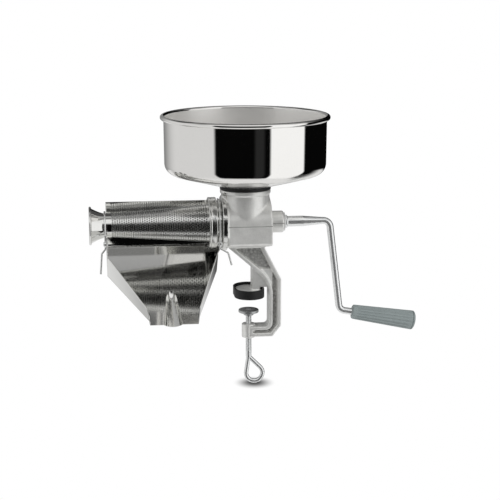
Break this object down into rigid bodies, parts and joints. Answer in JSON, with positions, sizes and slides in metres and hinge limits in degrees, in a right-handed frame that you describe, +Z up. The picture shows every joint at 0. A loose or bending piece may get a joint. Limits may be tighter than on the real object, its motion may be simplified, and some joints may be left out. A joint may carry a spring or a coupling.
{
  "type": "food mill",
  "caption": "Hand-cranked food mill with a round hopper, perforated strainer cone, sheet chute, side crank with turning grip and a table clamp with an eye screw.",
  "frame": {"origin": "middle of the jaw pad's underside, which sits on the table top", "axes": "+X along the crank axis towards the crank, +Y away from the viewer, +Z up"},
  "size_m": [0.4535, 0.2294, 0.3781],
  "materials": {
    "cast_aluminium": "satin tumbled casting",
    "mirror_steel": "mirror polish",
    "polished_steel": "bright polished sheet",
    "plated_steel": "bright zinc plate",
    "bush": "turned nylon",
    "rubber": "matt moulded",
    "auger_plastic": "moulded grey plastic",
    "grip_plastic": "satin moulded grey plastic"
  },
  "bodies": {
    "frame_body": {"body_casting": "cast_aluminium", "shaft_bush": "bush", "jaw_pad": "rubber", "screen_cone": "polished_steel", "screen_collar": "polished_steel", "screen_gasket": "rubber", "bayonet_pins": "plated_steel", "waste_funnel": "polished_steel", "chute_pan": "polished_steel", "chute_left_end": "polished_steel", "chute_right_end": "polished_steel", "hook_pins": "plated_steel"},
    "crank_body": {"crank_rod": "plated_steel", "auger": "auger_plastic", "auger_pin": "plated_steel", "auger_spring": "plated_steel", "thrust_washer": "plated_steel", "grip_retainer": "plated_steel"},
    "grip_body": {"crank_grip": "grip_plastic", "grip_end_cap": "grip_plastic"},
    "hopper_body": {"hopper_bowl": "mirror_steel", "hopper_neck": "mirror_steel", "throat_seal": "rubber"},
    "disc_body": {"pressure_disc": "plated_steel"},
    "screw_body": {"clamp_screw": "plated_steel"},
    "left_hook_body": {"left_hook": "plated_steel"},
    "right_hook_body": {"right_hook": "plated_steel"}
  },
  "joints": [
    {"name": "crank_spin", "type": "hinge", "parent": "frame_body", "child": "crank_body", "pos_m": [0, 0, 0.103], "axis": [1, 0, 0], "continuous": true},
    {"name": "grip_spin", "type": "hinge", "parent": "crank_body", "child": "grip_body", "pos_m": [0.12802, 0, -0.02504], "axis": [0.9848, 0, -0.1736], "continuous": true},
    {"name": "hopper_lift", "type": "slide", "parent": "frame_body", "child": "hopper_body", "axis": [0, 0, 1], "range_m": [0, 0.06]},
    {"name": "jaw_travel", "type": "slide", "parent": "frame_body", "child": "disc_body", "axis": [0, 0, 1], "range_m": [-0.01125, 0.01875]},
    {"name": "screw_turn", "type": "hinge", "parent": "disc_body", "child": "screw_body", "pos_m": [0, 0, -0.05], "axis": [0, 0, 1], "range_deg": [-3260, 5420]},
    {"name": "left_hook_swing", "type": "hinge", "parent": "frame_body", "child": "left_hook_body", "pos_m": [-0.1957, -0.0185, 0.081], "axis": [1, 0, 0], "range_deg": [0, 40]},
    {"name": "right_hook_swing", "type": "hinge", "parent": "frame_body", "child": "right_hook_body", "pos_m": [-0.042, -0.0326, 0.081], "axis": [1, 0, 0], "range_deg": [0, 40]}
  ],
  "couplings": [
    {"joint": "screw_turn", "follows": "jaw_travel", "rad_per_m": 5026.5}
  ]
}
